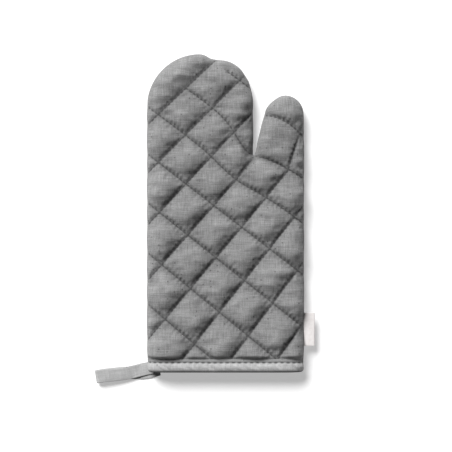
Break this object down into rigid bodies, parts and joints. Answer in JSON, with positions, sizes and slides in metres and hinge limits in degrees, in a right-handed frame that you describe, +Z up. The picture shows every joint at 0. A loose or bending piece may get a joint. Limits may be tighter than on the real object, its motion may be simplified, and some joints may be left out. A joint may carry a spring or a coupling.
{
  "type": "oven mitt",
  "caption": "Quilted oven mitt with a finger pocket and a thumb, a bound cuff, a folded-tape hanging loop and a blank side label.",
  "frame": {"origin": "middle of the flat resting face on the back panel, midway along the mitt and across its cuff", "axes": "+Y from the cuff to the fingertips, +X towards the thumb side, +Z up from the resting face to the front panel"},
  "size_m": [0.2193, 0.3299, 0.032],
  "materials": {
    "linen": "matt quilted linen",
    "wadding": "fluffy batting",
    "lining": "matt plain cotton",
    "thread": "matt sewing thread",
    "binding": "matt folded cotton tape",
    "ribbon": "satin-woven ribbon"
  },
  "bodies": {
    "palm": {"front_shell_palm": "linen", "front_batting_palm": "wadding", "front_lining_palm": "lining", "front_quilting_palm": "thread", "back_shell_palm": "linen", "back_batting_palm": "wadding", "back_lining_palm": "lining", "back_quilting_palm": "thread", "side_seam_palm": "thread", "cuff_binding": "binding", "binding_stitching": "thread", "loop_tails": "binding", "loop_bartack": "thread"},
    "fingers": {"front_shell_fingers": "linen", "front_batting_fingers": "wadding", "front_lining_fingers": "lining", "front_quilting_fingers": "thread", "back_shell_fingers": "linen", "back_batting_fingers": "wadding", "back_lining_fingers": "lining", "back_quilting_fingers": "thread", "side_seam_fingers": "thread"},
    "thumb": {"front_shell_thumb": "linen", "front_batting_thumb": "wadding", "front_lining_thumb": "lining", "front_quilting_thumb": "thread", "back_shell_thumb": "linen", "back_batting_thumb": "wadding", "back_lining_thumb": "lining", "back_quilting_thumb": "thread", "side_seam_thumb": "thread"},
    "loop": {"hanging_loop": "binding", "loop_stitching": "thread"},
    "label": {"side_label": "ribbon"}
  },
  "joints": [
    {"name": "finger_fold", "type": "hinge", "parent": "palm", "child": "fingers", "pos_m": [-0.0255, 0.078, 0.032], "axis": [1, 0, 0], "range_deg": [0, 70]},
    {"name": "thumb_fold", "type": "hinge", "parent": "palm", "child": "thumb", "pos_m": [0.0535, 0.04497, 0.032], "axis": [0.8829, -0.4695, 0], "range_deg": [0, 60]},
    {"name": "loop_swing", "type": "hinge", "parent": "palm", "child": "loop", "pos_m": [-0.083, -0.157, 0.0012], "axis": [-0.1564, 0.9877, 0], "range_deg": [-90, 90]},
    {"name": "label_flap", "type": "hinge", "parent": "palm", "child": "label", "pos_m": [0.0786, -0.116, 0.012], "axis": [0, -1, 0], "range_deg": [-80, 80]}
  ]
}
